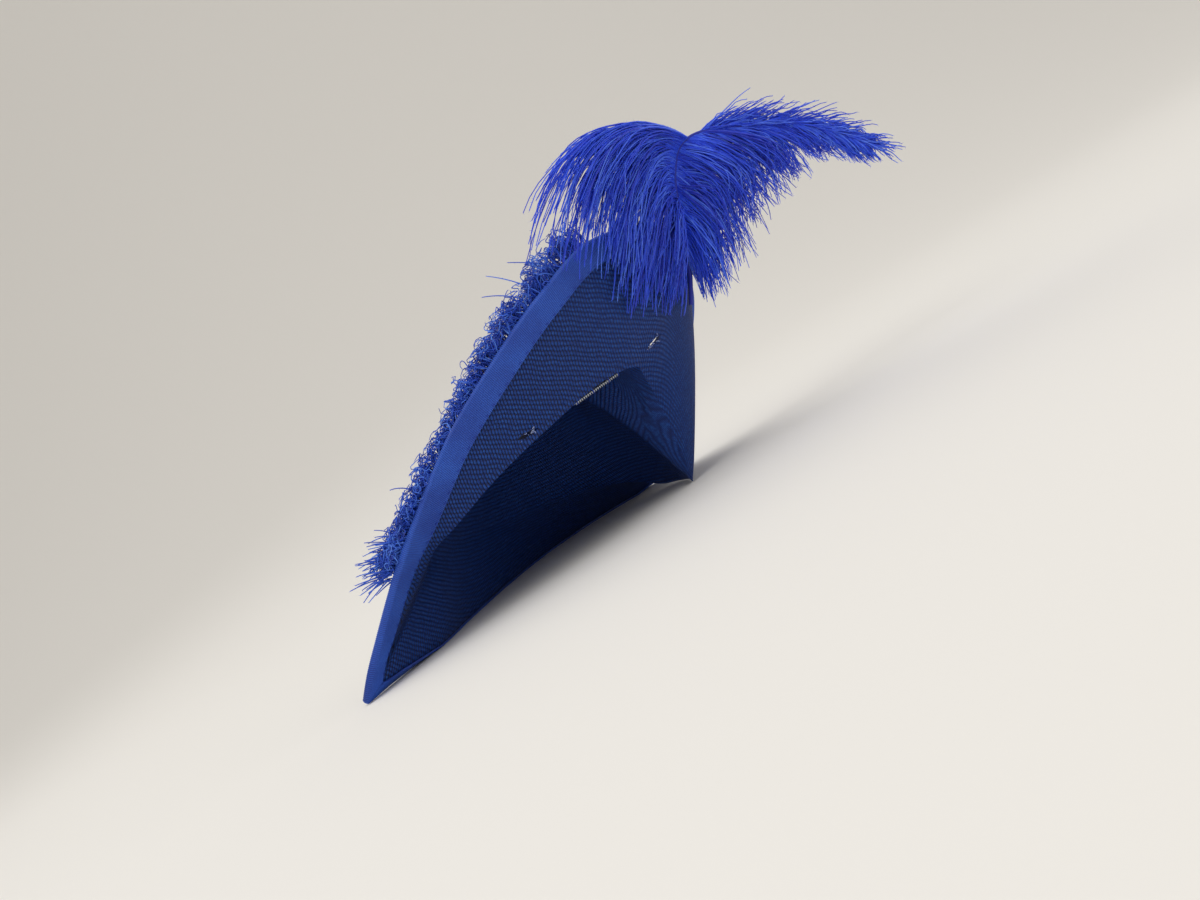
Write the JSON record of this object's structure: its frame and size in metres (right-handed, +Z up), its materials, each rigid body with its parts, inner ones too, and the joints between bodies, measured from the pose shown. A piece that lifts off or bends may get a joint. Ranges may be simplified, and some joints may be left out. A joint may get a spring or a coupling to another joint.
{
  "type": "fascinator",
  "caption": "Pointed straw fascinator with one side turned up, ribbon-bound edge, curled feather trim and a tall ostrich plume at the back.",
  "frame": {"origin": "middle of the bounding box, at its bottom: the level the hat lies on", "axes": "+X from the hat's point to its back and plume, +Y from the turned-up side to the low side, +Z up"},
  "size_m": [0.3734, 0.1984, 0.1854],
  "materials": {
    "straw": "woven straw, satin",
    "ribbon": "ribbed petersham ribbon",
    "trim": "curled ostrich barbs",
    "plume": "ostrich barbs",
    "wire": "plated wire"
  },
  "bodies": {
    "root": {"straw_body": "straw", "edge_binding": "ribbon", "curled_trim": "trim", "plume": "plume", "wire_comb": "wire"}
  },
  "joints": []
}
